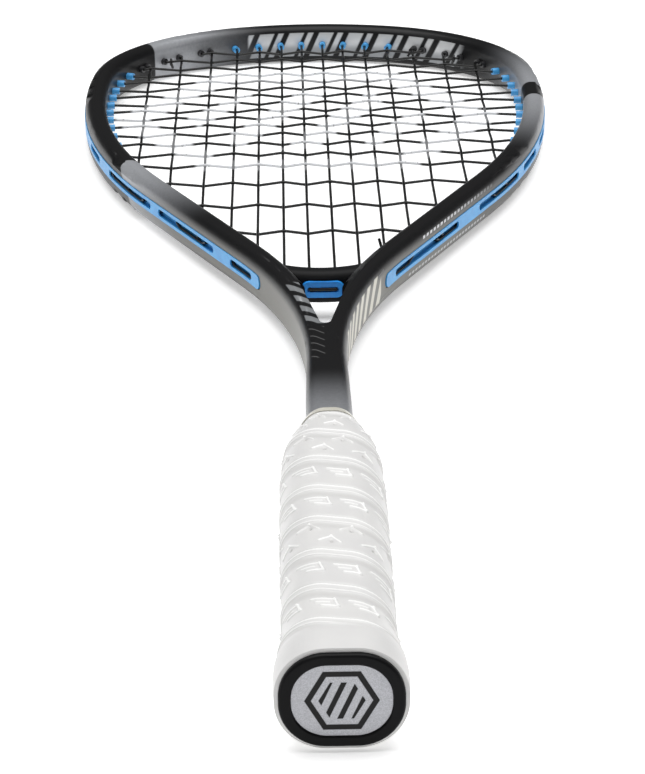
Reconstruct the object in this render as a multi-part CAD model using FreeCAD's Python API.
"""Teardrop squash racket, strung 14 x 18, as an assembly of separate pieces.

Frame of reference: origin at the centre of the butt end face, +Y along the racket
towards the head, +Z normal to the string bed, the string bed in the plane Z = 0.
All sizes in millimetres.
"""
import FreeCAD, Part
import math
import os

V = FreeCAD.Vector
Z_AXIS = V(0, 0, 1)
ORIGIN = V(0, 0, 0)

# ---------------------------------------------------------------- driving sizes
LENGTH = 686.0            # butt end to the outside of the bumper
BUMPER_SKIN = 1.25        # bumper thickness outside the frame
TUBE_HALF_WIDTH = 4.75    # frame tube, measured in the string plane
TUBE_HALF_DEPTH = 9.25    # frame tube, measured across the string plane
TUBE_CORNER = 4.2
WALL = 1.1
THROAT_EXTRA = 1.2        # added to the inner wall of the throat tubes
SHAFT_HALF_WIDTH = 7.05   # where the throat's tubes meet
SHAFT_FLARE = 0.65        # added to it at the handle
SHAFT_START = 12.0        # butt end of the carbon shaft, inside the handle
SHAFT_FLARE_Y = 190.0     # the shaft is parallel below this height

# Centre line of the right half of the hoop, from the tip, turning towards the butt
TIP_ARC = (137.0, 16.0)       # radius, degrees
CORNER_ARC = (87.0, 69.0)
SIDE_ARC = (324.0, 31.0)
THROAT_RADIUS = 255.0

# Groove round the outside of the hoop, with the strip that lies in it
GROOVE_DEPTH = 2.4
GROOVE_HALF = 2.9
STRIP_HALF = 2.85
STRIP_PROUD = 0.35
STRIP_FLOOR = 0.65
CHANNEL_HALF = 2.05
CHANNEL_LID = 0.35
STRIP_END_Y = 323.0       # lower end of the side strips
STRIP_TOP_Y = 627.0       # where the side strips meet the bumper
CROWN_HALF = 45.0         # half length of the crown strip

# Strings
STRING_RADIUS = 0.6
WEAVE = 0.70              # height of a string's centre where it crosses another
WEAVE_ARC = 2.5
MAIN_OFFSETS = (5.1, 15.0, 25.7, 36.7, 49.2, 63.8, 78.4)   # at FAN_Y
FAN = 0.00015             # growth of the offsets per millimetre towards the tip
FAN_Y = 520.0
CROSS_TOP = 659.5
CROSS_GAPS = (14.0, 13.5, 12.5, 12.5, 12.5, 12.0, 12.5, 12.0, 12.0,
              12.5, 13.5, 14.5, 16.0, 16.5, 25.5, 30.0, 34.0)
BARREL_RADIUS = 1.6
BARREL_BORE = 0.75
LONG_TURN = 4.2           # a string turns into its barrel this far inside the hoop
SHORT_TURN = 2.5          # the same where the hoop's corners leave less room
BARREL_SETBACK = 0.9      # the barrel starts behind that turn
LONG_CROSSES = range(4, 14)    # crosses with long barrels, counted from the tip
LONG_MAINS = range(0, 4)       # mains with long barrels at the tip, counted from the middle
HOLE_RADIUS = 1.7
MOUTH_ARC = 1.5
STRING_GAP = 0.02         # room between a loop and the string end it comes from
LOOP_SHIFT = 1.25         # loops of the mains dip, those of the crosses rise
LOOP_RAMP = 3.0           # length over which a loop leaves its hole's line
LOOP_CHORD = 6.0
LOOP_ARC = 1.5
KNOT_RADIUS = 1.3
KNOT_SETBACK = 2.0

# Throat
BRIDGE_Y = 321.5
BRIDGE_RADIUS = 32.0
BRIDGE_HALF_WIDTH = 4.5
BRIDGE_HALF_DEPTH = 6.4
BRIDGE_RECESS_HALF = (8.4, 3.4)
BRIDGE_RECESS_DEPTH = 1.4
GROMMET_HALF = (8.2, 3.2)
GROMMET_DEPTH = 1.35
GROMMET_PROUD = 0.8
GROMMET_SLOT_HALF = (6.0, 1.0)
GROMMET_SLOT_DEPTH = 0.45
FOAM_TOP_Y = 592.0       # the foam fills each side of the hoop between these heights
FOAM_LOW_Y = 512.0
FOAM_GAP = 0.15
CENTRE_WALL_HALF = 0.7   # the cavities of the two halves stop this far from the middle
CROTCH_Y = 257.5
CROTCH_RADIUS = 2.0
WEB_TOP = 268.0           # solid carbon between the tubes reaches up to here
CROTCH_MOUTH = (9.5, 302.0)

# Handle: station along Y, half width, half depth
GRIP_STATIONS = ((1.6, 18.3, 15.2), (9.0, 18.6, 15.4), (17.0, 18.0, 15.0), (27.0, 16.5, 14.0),
                 (38.0, 16.1, 13.8), (50.0, 16.2, 13.8), (62.0, 16.3, 13.85), (74.0, 16.4, 13.9),
                 (86.0, 16.5, 13.9), (98.0, 16.5, 13.9), (110.0, 16.5, 13.9), (122.0, 16.45, 13.9),
                 (135.0, 16.4, 13.9), (149.0, 15.9, 13.6),
                 (158.0, 14.6, 13.0), (165.0, 12.7, 12.1), (171.0, 10.3, 11.3), (176.0, 8.6, 10.5))
ROUNDNESS = 0.93          # corner radius of the handle's sections, as a share of the smaller half
ROUND_UP_TO = 149.0       # above this the corners tighten towards those of the shaft
TOP_ROUNDNESS = 0.85
GRIP_THICKNESS = 1.8
PALLET_TOP = 165.0
TAPE_START = 172.0        # the finishing tape covers the grip's end from here
TAPE_THICKNESS = 0.3
CAP_HALF = (17.1, 13.9)
CAP_RIM = 4.0
CAP_SKIRT_END = 24.0
CAP_SKIRT = ((CAP_RIM, 16.3, 13.3), (12.0, 16.5, 13.4), (CAP_SKIRT_END, 15.0, 12.5))
PALLET_FOOT = ((CAP_RIM, 14.9, 11.9), (CAP_SKIRT_END, 14.5, 12.0))   # inside the cap
PALLET_TOP_WALL = 0.4     # least foam over the shaft's face at the top of the pallet
BADGE_HALF = (13.7, 10.7)
BADGE_RECESS = 1.6
BADGE_THICKNESS = 1.0
RIM_ROUND = 0.9
RECESS_ROUND = 0.35
STAPLE = (15.0, 4.0, 12.7, 9.8, 0.35)    # Y, half crown, crown Z, tip Z, wire radius


# ---------------------------------------------------------------- small helpers
def fused(shapes):
    """One solid out of several that touch or overlap."""
    if len(shapes) == 1:
        return shapes[0]
    return shapes[0].multiFuse(shapes[1:])


def cut_near(shape, tools):
    """Shape less the tools that come near it."""
    near = [tool for tool in tools if tool.BoundBox.intersect(shape.BoundBox)]
    return shape.cut(near) if near else shape


def mirrored(shape):
    return shape.mirror(ORIGIN, V(1, 0, 0))


def rectangle(u0, u1, half_z):
    """Section face: u is outwards in the string plane, z is across it."""
    corners = [V(0, u0, -half_z), V(0, u1, -half_z), V(0, u1, half_z), V(0, u0, half_z)]
    return Part.Face(Part.makePolygon(corners + corners[:1]))


def rounded_wire(half_a, half_b, corner, to_point):
    """Rounded rectangle; to_point turns the two section coordinates into a vector."""
    edges = []
    a, b, r = half_a, half_b, corner
    cut = r * (1 - math.sqrt(0.5))
    for sa, sb in ((1, 1), (-1, 1), (-1, -1), (1, -1)):
        first = to_point(sa * a, sb * (b - r))
        middle = to_point(sa * (a - cut), sb * (b - cut))
        last = to_point(sa * (a - r), sb * b)
        if sa * sb < 0:
            first, last = last, first
        edges.append(Part.Arc(first, middle, last).toShape())
        after = to_point(-a, b - r) if (sa, sb) == (-1, 1) else None
        if (sa, sb) == (1, 1):
            edges.append(Part.LineSegment(last, to_point(-(a - r), b)).toShape())
        elif after is not None:
            edges.append(Part.LineSegment(after, to_point(-a, -(b - r))).toShape())
        elif (sa, sb) == (-1, -1):
            edges.append(Part.LineSegment(to_point(-(a - r), -b), to_point(a - r, -b)).toShape())
        else:
            edges.append(Part.LineSegment(to_point(a, -(b - r)), to_point(a, b - r)).toShape())
    return Part.Wire(Part.__sortEdges__(edges))


def tube_section(half_u, half_z, corner, shift=0.0):
    return Part.Face(rounded_wire(half_u, half_z, corner, lambda u, z: V(0, u + shift, z)))


def rod(start, end, radius):
    way = end - start
    return Part.makeCylinder(radius, way.Length, start, way)


def bead_rod(points, radius):
    """Round rod along a polyline, with round joints."""
    shapes = [rod(p, q, radius) for p, q in zip(points, points[1:])]
    shapes += [Part.makeSphere(radius, p) for p in points[1:-1]]
    return fused(shapes)


def soft_corner_pipe(points, radii, tube_radius):
    """Round tube along straight runs joined by tangent arcs."""
    edges = []
    here = points[0]
    for i in range(1, len(points) - 1):
        corner = points[i]
        back = (points[i - 1] - corner).normalize()
        ahead = (points[i + 1] - corner).normalize()
        turn = math.pi - back.getAngle(ahead)
        if turn < 1e-4:
            continue
        room = 0.45 * min((points[i - 1] - corner).Length, (points[i + 1] - corner).Length)
        radius = min(radii[i], room / math.tan(turn / 2))
        reach = radius * math.tan(turn / 2)
        inward = (back + ahead).normalize()
        middle = corner + inward * (radius / math.cos(turn / 2) - radius)
        start = corner + back * reach
        end = corner + ahead * reach
        edges.append(Part.LineSegment(here, start).toShape())
        edges.append(Part.Arc(start, middle, end).toShape())
        here = end
    edges.append(Part.LineSegment(here, points[-1]).toShape())
    path = Part.Wire(edges)
    ring = Part.Wire(Part.makeCircle(tube_radius, points[0], points[1] - points[0]))
    return path.makePipeShell([ring], True, False)


# ---------------------------------------------------------------- the outline
class Outline:
    """Centre line of the right half of the hoop and throat, as tangent spans."""

    def __init__(self):
        tip_y = LENGTH - BUMPER_SKIN - TUBE_HALF_WIDTH
        turned = TIP_ARC[1] + CORNER_ARC[1] + SIDE_ARC[1]
        throat_turn = turned - 90.0
        self.spans = []
        self.point = V(0, tip_y, 0)
        self.heading = 0.0
        for radius, degrees in (TIP_ARC, CORNER_ARC, SIDE_ARC):
            self.add_arc(radius, degrees)
        end_x = SHAFT_HALF_WIDTH - TUBE_HALF_WIDTH
        lean = math.radians(throat_turn)
        run = (self.point.x - THROAT_RADIUS * (1 - math.cos(lean)) - end_x) / math.sin(lean)
        self.add_line(run)
        self.add_arc(-THROAT_RADIUS, throat_turn)
        self.length = sum(span["length"] for span in self.spans)

    def directions(self, heading):
        angle = math.radians(heading)
        along = V(math.cos(angle), math.sin(angle), 0)
        outward = V(-math.sin(angle), math.cos(angle), 0)
        return along, outward

    def add_arc(self, radius, degrees):
        along, outward = self.directions(self.heading)
        centre = self.point - outward * radius
        sweep = -degrees if radius > 0 else degrees
        self.spans.append({"kind": "arc", "start": self.point, "heading": self.heading,
                           "centre": centre, "sweep": sweep,
                           "length": abs(radius) * math.radians(degrees), "radius": radius})
        self.heading += sweep
        along, outward = self.directions(self.heading)
        self.point = centre + outward * radius

    def add_line(self, run):
        along, outward = self.directions(self.heading)
        self.spans.append({"kind": "line", "start": self.point, "heading": self.heading,
                           "length": run})
        self.point = self.point + along * run

    def at(self, distance):
        """Point and outward normal at a distance along the centre line."""
        left = min(max(distance, 0.0), self.length)
        for span in self.spans:
            if left <= span["length"] or span is self.spans[-1]:
                break
            left -= span["length"]
        if span["kind"] == "line":
            along, outward = self.directions(span["heading"])
            return span["start"] + along * left, outward
        heading = span["heading"] + span["sweep"] * left / span["length"]
        along, outward = self.directions(heading)
        return span["centre"] + outward * span["radius"], outward

    def offset(self, distance, u):
        point, outward = self.at(distance)
        return point + outward * u

    def solve(self, low, high, test):
        """Distance where test(distance) changes sign between low and high."""
        sign = test(low) > 0
        for _ in range(50):
            middle = (low + high) / 2
            if (test(middle) > 0) == sign:
                low = middle
            else:
                high = middle
        return (low + high) / 2

    def at_y(self, y, u=0.0):
        return self.solve(0.0, self.length, lambda s: self.offset(s, u).y - y)

    def widest(self):
        return self.spans[0]["length"] + self.spans[1]["length"] \
            + self.spans[2]["length"] * self.turn_to_side()

    def turn_to_side(self):
        return (90.0 - TIP_ARC[1] - CORNER_ARC[1]) / SIDE_ARC[1]

    def swept(self, face, first=0.0, last=None):
        """Solid of a section carried along the centre line from first to last."""
        last = self.length if last is None else last
        shapes = []
        passed = 0.0
        for span in self.spans:
            begin = max(first, passed) - passed
            end = min(last, passed + span["length"]) - passed
            passed += span["length"]
            if end - begin < 1e-6:
                continue
            section = face.copy()
            if span["kind"] == "line":
                along, outward = self.directions(span["heading"])
                section.rotate(ORIGIN, Z_AXIS, span["heading"])
                section.translate(span["start"] + along * begin)
                shapes.append(section.extrude(along * (end - begin)))
                continue
            heading = span["heading"] + span["sweep"] * begin / span["length"]
            along, outward = self.directions(heading)
            section.rotate(ORIGIN, Z_AXIS, heading)
            section.translate(span["centre"] + outward * span["radius"])
            sweep = span["sweep"] * (end - begin) / span["length"]
            shapes.append(section.revolve(span["centre"], Z_AXIS, sweep))
        return fused(shapes)


OUTLINE = Outline()
THROAT_START = OUTLINE.length - OUTLINE.spans[-1]["length"]
SHAFT_TOP = OUTLINE.point.y


# ---------------------------------------------------------------- string layout
FLOOR_U = TUBE_HALF_WIDTH - GROOVE_DEPTH + STRIP_FLOOR
LOOP_U = FLOOR_U + 0.7
LONG_MOUTH_U = -TUBE_HALF_WIDTH - LONG_TURN
SHORT_MOUTH_U = -TUBE_HALF_WIDTH - SHORT_TURN


def cross_heights():
    heights = [CROSS_TOP]
    for gap in CROSS_GAPS:
        heights.append(heights[-1] - gap)
    return heights


def main_x(offset, y):
    return offset * (1 + FAN * (y - FAN_Y))


def bridge_mouth_y(x):
    """Y of the barrel mouths along the inner face of the bridge."""
    radius = BRIDGE_RADIUS - BRIDGE_HALF_WIDTH - SHORT_TURN
    return BRIDGE_Y + BRIDGE_RADIUS - math.sqrt(radius * radius - x * x)


def end_on_outline(distance, mouth_u):
    """Barrel mouth and loop point of a string end, square to the tube."""
    return OUTLINE.offset(distance, mouth_u), OUTLINE.offset(distance, LOOP_U)


def main_ends(index):
    """Ends of main number index (0 is next to the centre line), right side."""
    offset = MAIN_OFFSETS[index]

    def end_between(low, high, mouth_u):
        def beyond(s):
            point = OUTLINE.offset(s, mouth_u)
            return point.x - main_x(offset, point.y)
        return end_on_outline(OUTLINE.solve(low, high, beyond), mouth_u)

    top_u = LONG_MOUTH_U if index in LONG_MAINS else SHORT_MOUTH_U
    top = end_between(0.0, OUTLINE.widest(), top_u)
    if index == 0:
        y = bridge_mouth_y(offset)
        x = main_x(offset, y)
        low = BRIDGE_Y - BRIDGE_HALF_WIDTH - 0.4
        bottom = (V(x, y, 0), V(x, low, 0))
    elif index == 1:
        y = bridge_mouth_y(main_x(offset, BRIDGE_Y))
        mouth = V(main_x(offset, y), y, 0)
        bottom = (mouth, OUTLINE.offset(OUTLINE.at_y(y - 4.5, LOOP_U), LOOP_U))
    else:
        bottom = end_between(OUTLINE.widest(), THROAT_START + 60.0, SHORT_MOUTH_U)
    return top, bottom


def cross_end(y, number):
    mouth_u = LONG_MOUTH_U if number in LONG_CROSSES else SHORT_MOUTH_U
    return end_on_outline(OUTLINE.at_y(y, mouth_u), mouth_u)


MAINS = [main_ends(i) for i in range(len(MAIN_OFFSETS))]
CROSSES = [(y, cross_end(y, number)) for number, y in enumerate(cross_heights(), 1)]


def flipped(point):
    return V(-point.x, point.y, point.z)


def main_number(index, side):
    """Mains counted from left to right, for the over-and-under pattern."""
    return 7 - index if side < 0 else 8 + index


def weave(main, cross):
    return WEAVE if (main + cross) % 2 else -WEAVE


def main_path(index, side):
    (top_mouth, top_loop), (low_mouth, low_loop) = MAINS[index]
    points = [top_loop, top_mouth]
    radii = [0, MOUTH_ARC]
    for number, (y, end) in enumerate(CROSSES, 1):
        if low_mouth.y + 1.5 < y < top_mouth.y - 1.5:
            height = weave(main_number(index, 1 if side > 0 else -1), number)
            points.append(V(main_x(MAIN_OFFSETS[index], y), y, height))
            radii.append(WEAVE_ARC)
    points += [low_mouth, low_loop]
    radii += [MOUTH_ARC, 0]
    return (points if side > 0 else [flipped(p) for p in points]), radii


def cross_path(number):
    y, (mouth, loop) = CROSSES[number - 1]
    points = [flipped(loop), flipped(mouth)]
    radii = [0, MOUTH_ARC]
    for main in range(1, 15):
        side = -1 if main < 8 else 1
        index = 7 - main if main < 8 else main - 8
        (top_mouth, _), (low_mouth, _) = MAINS[index]
        if low_mouth.y + 1.5 < y < top_mouth.y - 1.5:
            x = side * main_x(MAIN_OFFSETS[index], y)
            points.append(V(x, y, -weave(main, number)))
            radii.append(WEAVE_ARC)
    points += [mouth, loop]
    radii += [MOUTH_ARC, 0]
    return points, radii


def string_solids():
    mains = []
    for side in (-1, 1):
        for index in range(len(MAIN_OFFSETS)):
            points, radii = main_path(index, side)
            mains.append(soft_corner_pipe(points, radii, STRING_RADIUS))
    crosses = []
    for number in range(1, len(CROSSES) + 1):
        points, radii = cross_path(number)
        crosses.append(soft_corner_pipe(points, radii, STRING_RADIUS))
    return mains, crosses


# ---------------------------------------------------------------- loops outside the hoop
def loop_between(start, end, shift):
    """Loop along the groove from one string end to the next, set aside to pass others."""
    first, last = sorted((OUTLINE.at_y(start.y, LOOP_U), OUTLINE.at_y(end.y, LOOP_U)))
    ramp = min(LOOP_RAMP, (last - first) / 3)
    run = last - first - 2 * ramp
    pieces = max(1, round(run / LOOP_CHORD))
    points = [OUTLINE.offset(first, LOOP_U)]
    for i in range(pieces + 1):
        points.append(OUTLINE.offset(first + ramp + run * i / pieces, LOOP_U) + V(0, 0, shift))
    points.append(OUTLINE.offset(last, LOOP_U))
    radii = [LOOP_ARC] * 2 + [OUTLINE.length] * (pieces - 1) + [LOOP_ARC] * 2
    return soft_corner_pipe(points, radii, STRING_RADIUS)


def both_sides(shapes):
    return shapes + [mirrored(shape) for shape in shapes]


def straight_ends():
    """The last straight run of every string, through its barrel, with a little room."""
    return both_sides([rod(mouth, loop, STRING_RADIUS + STRING_GAP) for mouth, loop in all_barrels()])


def main_loops():
    """Outside runs of the main string: pairs below, the other pairs over the crown."""
    centre = MAINS[0][1][1]
    loops = [rod(flipped(centre), centre, STRING_RADIUS)]
    for low in (1, 3, 5):
        pair = [loop_between(MAINS[low][1][1], MAINS[low + 1][1][1], -LOOP_SHIFT)]
        loops += both_sides(pair)
    for top in (0, 2, 4):
        shift = -LOOP_SHIFT if top == 4 else 0.0
        loops += both_sides([loop_between(MAINS[top][0][1], MAINS[top + 1][0][1], shift)])
    tie_off = loop_between(MAINS[6][0][1], CROSSES[1][1][1], -LOOP_SHIFT)
    return loops + both_sides([tie_off])


def cross_loops():
    """Outside runs of the cross string: the first pair of crosses is joined on the left."""
    loops = []
    for number in range(1, len(CROSSES)):
        loop = loop_between(CROSSES[number - 1][1][1], CROSSES[number][1][1], LOOP_SHIFT)
        loops.append(mirrored(loop) if number % 2 else loop)
    loops.append(loop_between(CROSSES[0][1][1], MAINS[4][0][1], LOOP_SHIFT))
    loops.append(loop_between(CROSSES[17][1][1], MAINS[2][1][1], LOOP_SHIFT))
    return loops


# ---------------------------------------------------------------- frame
def all_barrels():
    """(mouth, loop point) of every string end on the right half of the hoop."""
    ends = [end for top, bottom in MAINS for end in (top, bottom)]
    ends += [end for y, end in CROSSES]
    return ends


def hoop_ends():
    """Every barrel that goes through the hoop: all but the centre pair at the bridge."""
    centre = MAINS[0][1]
    return [end for end in all_barrels() if end is not centre]


def barrel_hole(end, radius):
    """Hole for a barrel, from its mouth to past the outside of the tube."""
    mouth, loop = end
    way = (loop - mouth).normalize()
    return rod(mouth, loop + way * 2.0, radius)


def half_frame_outer():
    section = tube_section(TUBE_HALF_WIDTH, TUBE_HALF_DEPTH, TUBE_CORNER)
    half = OUTLINE.swept(section)
    keep = Part.makeBox(200, 800, 60, V(0, 0, -30))
    return half.common(keep)


def shaft_outer():
    def wire(y, half_width):
        return rounded_wire(half_width, TUBE_HALF_DEPTH, TUBE_CORNER, lambda a, b: V(a, y, b))
    handle_width = SHAFT_HALF_WIDTH + SHAFT_FLARE
    wires = [wire(SHAFT_START, handle_width), wire(SHAFT_FLARE_Y, handle_width),
             wire(SHAFT_TOP, SHAFT_HALF_WIDTH)]
    return Part.makeLoft(wires, True, True)


def crotch_web():
    """Solid carbon between the two tubes below the open throat."""
    def tube_x(y):
        return OUTLINE.at(OUTLINE.at_y(y))[0].x
    corners = [V(tube_x(SHAFT_TOP), SHAFT_TOP, 0), V(tube_x(WEB_TOP), WEB_TOP, 0)]
    corners += [flipped(p) for p in reversed(corners)]
    face = Part.Face(Part.makePolygon(corners + corners[:1]))
    face.translate(V(0, 0, -TUBE_HALF_DEPTH))
    return face.extrude(V(0, 0, 2 * TUBE_HALF_DEPTH))


def crotch_cut(grow=0.0):
    """Open throat: a V with a round bottom, grown on all sides for the wall round it."""
    r = CROTCH_RADIUS + grow
    centre_y = CROTCH_Y + CROTCH_RADIUS
    mouth_x, mouth_y = CROTCH_MOUTH
    mouth_x += grow
    reach = math.hypot(mouth_x, mouth_y - centre_y)
    angle = math.atan2(mouth_y - centre_y, mouth_x) - math.acos(r / reach)
    touch = V(r * math.cos(angle), centre_y + r * math.sin(angle), 0)
    mouth = V(mouth_x, mouth_y, 0)
    arc = Part.Arc(flipped(touch), V(0, centre_y - r, 0), touch).toShape()
    edges = [arc, Part.LineSegment(touch, mouth).toShape(),
             Part.LineSegment(mouth, flipped(mouth)).toShape(),
             Part.LineSegment(flipped(mouth), flipped(touch)).toShape()]
    face = Part.Face(Part.Wire(edges))
    face.translate(V(0, 0, -20))
    return face.extrude(V(0, 0, 40))


def across_tube(distance, u0, u1, radius):
    """Round pin square to the centre line, for the ends of slots and strips."""
    return rod(OUTLINE.offset(distance, u0), OUTLINE.offset(distance, u1), radius)


def half_groove():
    floor, outside = TUBE_HALF_WIDTH - GROOVE_DEPTH, TUBE_HALF_WIDTH + 3
    end = OUTLINE.at_y(STRIP_END_Y, TUBE_HALF_WIDTH) - GROOVE_HALF
    groove = OUTLINE.swept(rectangle(floor, outside, GROOVE_HALF), 0.0, end)
    return fused([groove, across_tube(end, floor, outside, GROOVE_HALF)])


def half_cavity():
    inside = tube_section(TUBE_HALF_WIDTH - WALL, TUBE_HALF_DEPTH - WALL, TUBE_CORNER - WALL)
    back = rectangle(TUBE_HALF_WIDTH - GROOVE_DEPTH - WALL, TUBE_HALF_WIDTH, GROOVE_HALF + WALL)
    hoop = OUTLINE.swept(inside.cut(back), 0.0, THROAT_START)
    narrow = tube_section(TUBE_HALF_WIDTH - WALL - THROAT_EXTRA / 2, TUBE_HALF_DEPTH - WALL,
                          TUBE_CORNER - WALL - THROAT_EXTRA / 2, THROAT_EXTRA / 2)
    below = OUTLINE.at_y(STRIP_END_Y - 6.0)
    throat = OUTLINE.swept(narrow, below, OUTLINE.length)
    link = OUTLINE.swept(inside.cut(back), THROAT_START, below)
    keep = Part.makeBox(LENGTH, 2 * LENGTH, LENGTH, V(CENTRE_WALL_HALF, 0, -LENGTH / 2))
    return fused([hoop, link, throat]).common(keep).cut(crotch_cut(WALL))


def shaft_cavity():
    def wire(y):
        return rounded_wire(SHAFT_HALF_WIDTH - WALL, TUBE_HALF_DEPTH - WALL, TUBE_CORNER - WALL,
                            lambda a, b: V(a, y, b))
    return Part.makeLoft([wire(SHAFT_START - 1), wire(SHAFT_TOP)], True, True)


def frame_blank():
    half = half_frame_outer()
    blank = fused([half, mirrored(half), shaft_outer(), crotch_web()])
    return blank.cut(crotch_cut())


def frame_holes(radius):
    holes = []
    for end in hoop_ends():
        hole = barrel_hole(end, radius)
        holes += [hole, mirrored(hole)]
    return holes


def frame_tube(blank):
    groove = half_groove()
    cavity = half_cavity()
    cuts = [groove, mirrored(groove), fused([cavity, mirrored(cavity), shaft_cavity()])]
    hollow = blank.cut(cuts)
    return hollow.cut(frame_holes(HOLE_RADIUS))


# ---------------------------------------------------------------- bridge
def bridge_blank():
    section = tube_section(BRIDGE_HALF_WIDTH, BRIDGE_HALF_DEPTH, 3.2)
    section.translate(V(0, BRIDGE_Y, 0))
    centre = V(0, BRIDGE_Y + BRIDGE_RADIUS, 0)
    left = section.revolve(centre, Z_AXIS, 60)
    return fused([left, mirrored(left)])


def throat_bridge(blank):
    bridge = bridge_blank().cut(blank)
    solids = sorted(bridge.Solids, key=lambda s: s.Volume)
    bridge = solids[-1]
    tools = []
    for end in (MAINS[0][1], MAINS[1][1]):
        hole = barrel_hole(end, HOLE_RADIUS)
        tools += [hole, mirrored(hole)]
    depth_y = BRIDGE_Y - BRIDGE_HALF_WIDTH + BRIDGE_RECESS_DEPTH
    return bridge.cut(tools + [racetrack(*BRIDGE_RECESS_HALF, depth_y)])


def racetrack(half_x, half_z, depth_y, start_y=None):
    """Stadium-shaped block across the front face of the bridge."""
    start_y = BRIDGE_Y - BRIDGE_HALF_WIDTH - 2 if start_y is None else start_y
    wire = rounded_wire(half_x, half_z, half_z - 0.02, lambda a, b: V(a, start_y, b))
    return Part.Face(wire).extrude(V(0, depth_y - start_y, 0))


def bridge_grommet():
    face_y = BRIDGE_Y - BRIDGE_HALF_WIDTH
    body = racetrack(*GROMMET_HALF, face_y + GROMMET_DEPTH, face_y - GROMMET_PROUD)
    slot = racetrack(*GROMMET_SLOT_HALF, face_y + GROMMET_SLOT_DEPTH, face_y - 1.0)
    mouth, low = MAINS[0][1]
    barrel = rod(V(low.x, face_y + 1.0, 0), mouth - V(0, BARREL_SETBACK, 0), BARREL_RADIUS)
    bore = rod(V(low.x, face_y - 1.0, 0), mouth + V(0, 1, 0), BARREL_BORE)
    body = fused([body.cut(slot), barrel, mirrored(barrel)])
    return body.cut([bore, mirrored(bore)])


# ---------------------------------------------------------------- strips in the groove
def barrels_and_bores(ends):
    barrels, bores = [], []
    for mouth, loop in ends:
        way = (loop - mouth).normalize()
        floor = loop - way * (LOOP_U - FLOOR_U)
        barrels.append(rod(mouth + way * BARREL_SETBACK, floor, BARREL_RADIUS))
        bores.append(rod(mouth - way, loop, BARREL_BORE))
    return barrels, bores


def side_ends():
    ends = [end for y, end in CROSSES if y < STRIP_TOP_Y]
    ends += [bottom for top, bottom in MAINS[1:]]
    return ends


def window(y_low, y_high):
    """Oblong opening in the lid of a side strip, between two heights on its outside."""
    u = TUBE_HALF_WIDTH + STRIP_PROUD
    low, high = OUTLINE.at_y(y_low, u), OUTLINE.at_y(y_high, u)
    radius = 1.5
    pocket = OUTLINE.swept(rectangle(TUBE_HALF_WIDTH - 1.0, u + 1.0, radius),
                           high + radius, low - radius)
    ends = [across_tube(s, TUBE_HALF_WIDTH - 1.0, u + 1.0, radius)
            for s in (high + radius, low - radius)]
    return fused([pocket] + ends)


RIGHT_WINDOWS = ((333, 391), (411, 456), (464, 489), (500, 521))
LEFT_WINDOWS = ((331, 349), (363, 412), (419, 467), (484, 506))


def side_strip(windows):
    """Side grommet strip, drawn on the right; the left one is mirrored."""
    start = OUTLINE.at_y(STRIP_TOP_Y, TUBE_HALF_WIDTH)
    end = OUTLINE.at_y(STRIP_END_Y + 0.8, TUBE_HALF_WIDTH) - STRIP_HALF
    under, top = TUBE_HALF_WIDTH - GROOVE_DEPTH, TUBE_HALF_WIDTH + STRIP_PROUD
    straight = OUTLINE.swept(rectangle(under, top, STRIP_HALF), start, end)
    body = fused([straight, across_tube(end, under + STRING_GAP, top, STRIP_HALF)])
    channel = OUTLINE.swept(rectangle(FLOOR_U, TUBE_HALF_WIDTH - CHANNEL_LID, CHANNEL_HALF),
                            start - 0.5, end + 0.6)
    barrels, bores = barrels_and_bores(side_ends())
    cuts = [channel] + bores + [window(low, high) for low, high in windows]
    return fused([body] + barrels).cut(cuts)


def crown_strip():
    """Strip with the barrels of the eight middle mains, under the bumper."""
    half = OUTLINE.solve(0.0, OUTLINE.widest(), lambda s: OUTLINE.offset(s, FLOOR_U).x - CROWN_HALF)
    plate = OUTLINE.swept(rectangle(TUBE_HALF_WIDTH - GROOVE_DEPTH, FLOOR_U, STRIP_HALF), 0.0, half)
    barrels, bores = barrels_and_bores([top for top, bottom in MAINS[:4]])
    right = fused([plate] + barrels).cut(bores)
    return fused([right, mirrored(right)])


def bumper():
    """Bumper guard: skin over the crown, with ribs, a floor and barrels beyond the crown strip."""
    crown = OUTLINE.solve(0.0, OUTLINE.widest(),
                          lambda s: OUTLINE.offset(s, FLOOR_U).x - CROWN_HALF - 0.2)
    end = OUTLINE.at_y(STRIP_TOP_Y + 0.3, TUBE_HALF_WIDTH)
    skin = OUTLINE.swept(rectangle(TUBE_HALF_WIDTH, TUBE_HALF_WIDTH + BUMPER_SKIN, 5.0), 0.0, end)
    block = OUTLINE.swept(rectangle(TUBE_HALF_WIDTH - GROOVE_DEPTH, TUBE_HALF_WIDTH, STRIP_HALF),
                          crown, end)
    lid = OUTLINE.swept(rectangle(FLOOR_U, TUBE_HALF_WIDTH, STRIP_HALF), 0.0, crown)
    channel = OUTLINE.swept(rectangle(FLOOR_U, TUBE_HALF_WIDTH - CHANNEL_LID, CHANNEL_HALF),
                            0.0, end + 0.5)
    mouths = [top for top, bottom in MAINS[4:]]
    mouths += [side for y, side in CROSSES if y > STRIP_TOP_Y]
    barrels, bores = barrels_and_bores(mouths)
    right = fused([skin, block, lid] + barrels).cut([channel] + bores)
    return fused([right, mirrored(right)])


def foam_insert():
    """Foam core inside the side of the hoop, pierced by the barrels."""
    gap = FOAM_GAP
    inside = tube_section(TUBE_HALF_WIDTH - WALL - gap, TUBE_HALF_DEPTH - WALL - gap,
                          TUBE_CORNER - WALL - gap)
    back = rectangle(TUBE_HALF_WIDTH - GROOVE_DEPTH - WALL - gap, TUBE_HALF_WIDTH,
                     GROOVE_HALF + WALL + gap)
    core = OUTLINE.swept(inside.cut(back), OUTLINE.at_y(FOAM_TOP_Y), OUTLINE.at_y(FOAM_LOW_Y))
    return core.cut(frame_holes(HOLE_RADIUS)[0::2])


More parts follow.
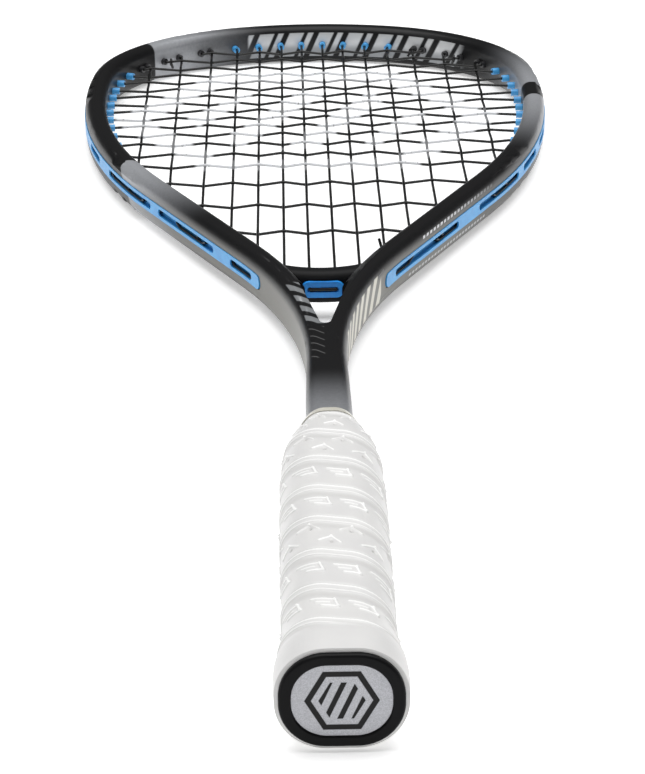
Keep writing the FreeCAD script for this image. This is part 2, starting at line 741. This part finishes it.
# ---------------------------------------------------------------- handle
def oval(y, half_width, half_depth):
    tight = max(0.0, (y - ROUND_UP_TO) / (GRIP_STATIONS[-1][0] - ROUND_UP_TO))
    share = ROUNDNESS + tight * (TOP_ROUNDNESS - ROUNDNESS)
    corner = share * min(half_width, half_depth)
    return rounded_wire(half_width, half_depth, corner, lambda a, b: V(a, y, b))


def handle_loft(stations, inset=0.0):
    wires = [oval(y, a - inset, b - inset) for y, a, b in stations]
    return Part.makeLoft(wires, True, False)


def between(y):
    """Half width and half depth of the grip at a height between two stations."""
    for (y0, a0, b0), (y1, a1, b1) in zip(GRIP_STATIONS, GRIP_STATIONS[1:]):
        if y0 <= y <= y1:
            t = (y - y0) / (y1 - y0)
            return a0 + t * (a1 - a0), b0 + t * (b1 - b0)
    return GRIP_STATIONS[-1][1:]


def shaft_plug(y0, y1, grow=0.0):
    """Block of the shaft's outer shape, used to hollow what sits on it."""
    def wire(y):
        return rounded_wire(SHAFT_HALF_WIDTH + SHAFT_FLARE + grow, TUBE_HALF_DEPTH + grow, TUBE_CORNER,
                            lambda a, b: V(a, y, b))
    return Part.makeLoft([wire(y0), wire(y1)], True, True)


def pallet_blank():
    stations = list(PALLET_FOOT)
    body = [s for s in GRIP_STATIONS if CAP_SKIRT_END + 2 < s[0] < PALLET_TOP - 4]
    inset = GRIP_THICKNESS
    stations += [(y, a - inset, b - inset) for y, a, b in body]
    a, b = between(PALLET_TOP)
    stations.append((PALLET_TOP, a - inset, max(b - inset, TUBE_HALF_DEPTH + PALLET_TOP_WALL)))
    return handle_loft(stations)


def handle_pallet():
    return pallet_blank().cut(shaft_plug(SHAFT_START, LENGTH / 2))


def edges_at(shape, y):
    """Edges that lie wholly at one height along the racket."""
    return [edge for edge in shape.Edges if abs(edge.BoundBox.YMin - y) + abs(edge.BoundBox.YMax - y) < 0.01]


def cap_blank():
    rim = Part.Face(oval(0.0, *CAP_HALF)).extrude(V(0, CAP_RIM, 0))
    rim = rim.makeFillet(RIM_ROUND, edges_at(rim, 0.0))
    skirt = handle_loft(CAP_SKIRT)
    return fused([rim, skirt])


def butt_cap():
    recess = Part.Face(oval(-1.0, *BADGE_HALF)).extrude(V(0, 1.0 + BADGE_RECESS, 0))
    flare = Part.makeLoft([oval(-RECESS_ROUND, *[a + 2 * RECESS_ROUND for a in BADGE_HALF]),
                           oval(RECESS_ROUND, *BADGE_HALF)], True, True)
    return cap_blank().cut([recess, flare, pallet_blank()])


def butt_badge():
    a, b = BADGE_HALF
    start = BADGE_RECESS - BADGE_THICKNESS
    return Part.Face(oval(start, a - 0.1, b - 0.1)).extrude(V(0, BADGE_THICKNESS, 0))


def grip_wrap():
    outer = handle_loft(GRIP_STATIONS)
    top = GRIP_STATIONS[-1][0]
    return outer.cut([cap_blank(), pallet_blank(), shaft_plug(SHAFT_START, top + 5)])


def finishing_tape():
    """Thin film wound round the end of the grip."""
    stations = [(TAPE_START, *between(TAPE_START))]
    stations += [station for station in GRIP_STATIONS if station[0] > TAPE_START]
    band = handle_loft(stations, -TAPE_THICKNESS)
    return band.cut([handle_loft(GRIP_STATIONS), shaft_plug(TAPE_START - 1, LENGTH / 2)])


def cap_staples():
    """Two wire staples through the cap's skirt into the pallet, one on each flat side."""
    y, half, crown_z, tip_z, wire = STAPLE
    staples = []
    for side in (-1, 1):
        legs = [V(-half, y, tip_z * side), V(-half, y, crown_z * side),
                V(half, y, crown_z * side), V(half, y, tip_z * side)]
        staples.append(bead_rod(legs, wire))
    return staples


# ---------------------------------------------------------------- knots
def knot(place, along, tail):
    """Ring of string drawn tight round another string, with its cut tail."""
    ring = Part.makeTorus(KNOT_RADIUS, STRING_RADIUS, place, along)
    aside = V(tail.x, tail.y, 0).normalize() * (KNOT_RADIUS * 0.8)
    start = place + aside + V(0, 0, math.copysign(KNOT_RADIUS * 0.6, tail.z))
    return fused([ring, rod(start, place + tail, STRING_RADIUS)])


def tie_off_knots():
    """Each string's two ends are tied round a neighbouring string inside the hoop."""
    down, sideways = V(0, 1, 0), V(1, 0, 0)
    lower_main = MAINS[2][1][0] + down * KNOT_SETBACK
    upper_main = MAINS[4][0][0] - down * KNOT_SETBACK
    upper_cross = CROSSES[1][1][0] - sideways * KNOT_SETBACK
    side_knot = knot(upper_cross, sideways, V(-0.8, -2.4, -2.4))
    return [knot(lower_main, down, V(-2.4, 0.5, 5.8)),
            knot(upper_main, down, V(-2.4, -0.8, -2.4)),
            side_knot, mirrored(side_knot)]


# ---------------------------------------------------------------- build
def main():
    os.makedirs("parts", exist_ok=True)
    mains, crosses = string_solids()
    ends = straight_ends()
    outside_crosses = [cut_near(loop, ends) for loop in cross_loops()]
    outside_mains = [cut_near(loop, ends + outside_crosses) for loop in main_loops()]
    knots = [cut_near(shape, mains + crosses) for shape in tie_off_knots()]
    blank = frame_blank()
    foam = foam_insert()
    staples = cap_staples()
    parts = {
        "frame_tube": frame_tube(blank),
        "throat_bridge": throat_bridge(blank),
        "foam_insert_right": foam,
        "foam_insert_left": mirrored(foam),
        "bumper_guard": bumper(),
        "crown_grommet_strip": crown_strip(),
        "side_grommet_strip_right": side_strip(RIGHT_WINDOWS),
        "side_grommet_strip_left": mirrored(side_strip(LEFT_WINDOWS)),
        "bridge_grommet": bridge_grommet(),
        "main_strings": Part.makeCompound(mains),
        "cross_strings": Part.makeCompound(crosses),
        "main_string_loops": Part.makeCompound(outside_mains),
        "cross_string_loops": Part.makeCompound(outside_crosses),
        "handle_pallet": handle_pallet().cut(staples),
        "butt_cap": butt_cap().cut(staples),
        "butt_badge": butt_badge(),
        "grip_wrap": grip_wrap(),
        "grip_finishing_tape": finishing_tape(),
        "butt_cap_staples": Part.makeCompound(staples),
        "tie_off_knots": Part.makeCompound(knots),
    }
    for name, shape in parts.items():
        shape.exportStep("parts/%s.step" % name)
        print(name, "solids", len(shape.Solids), "valid", shape.isValid(),
              "volume %.1f" % shape.Volume)


main()
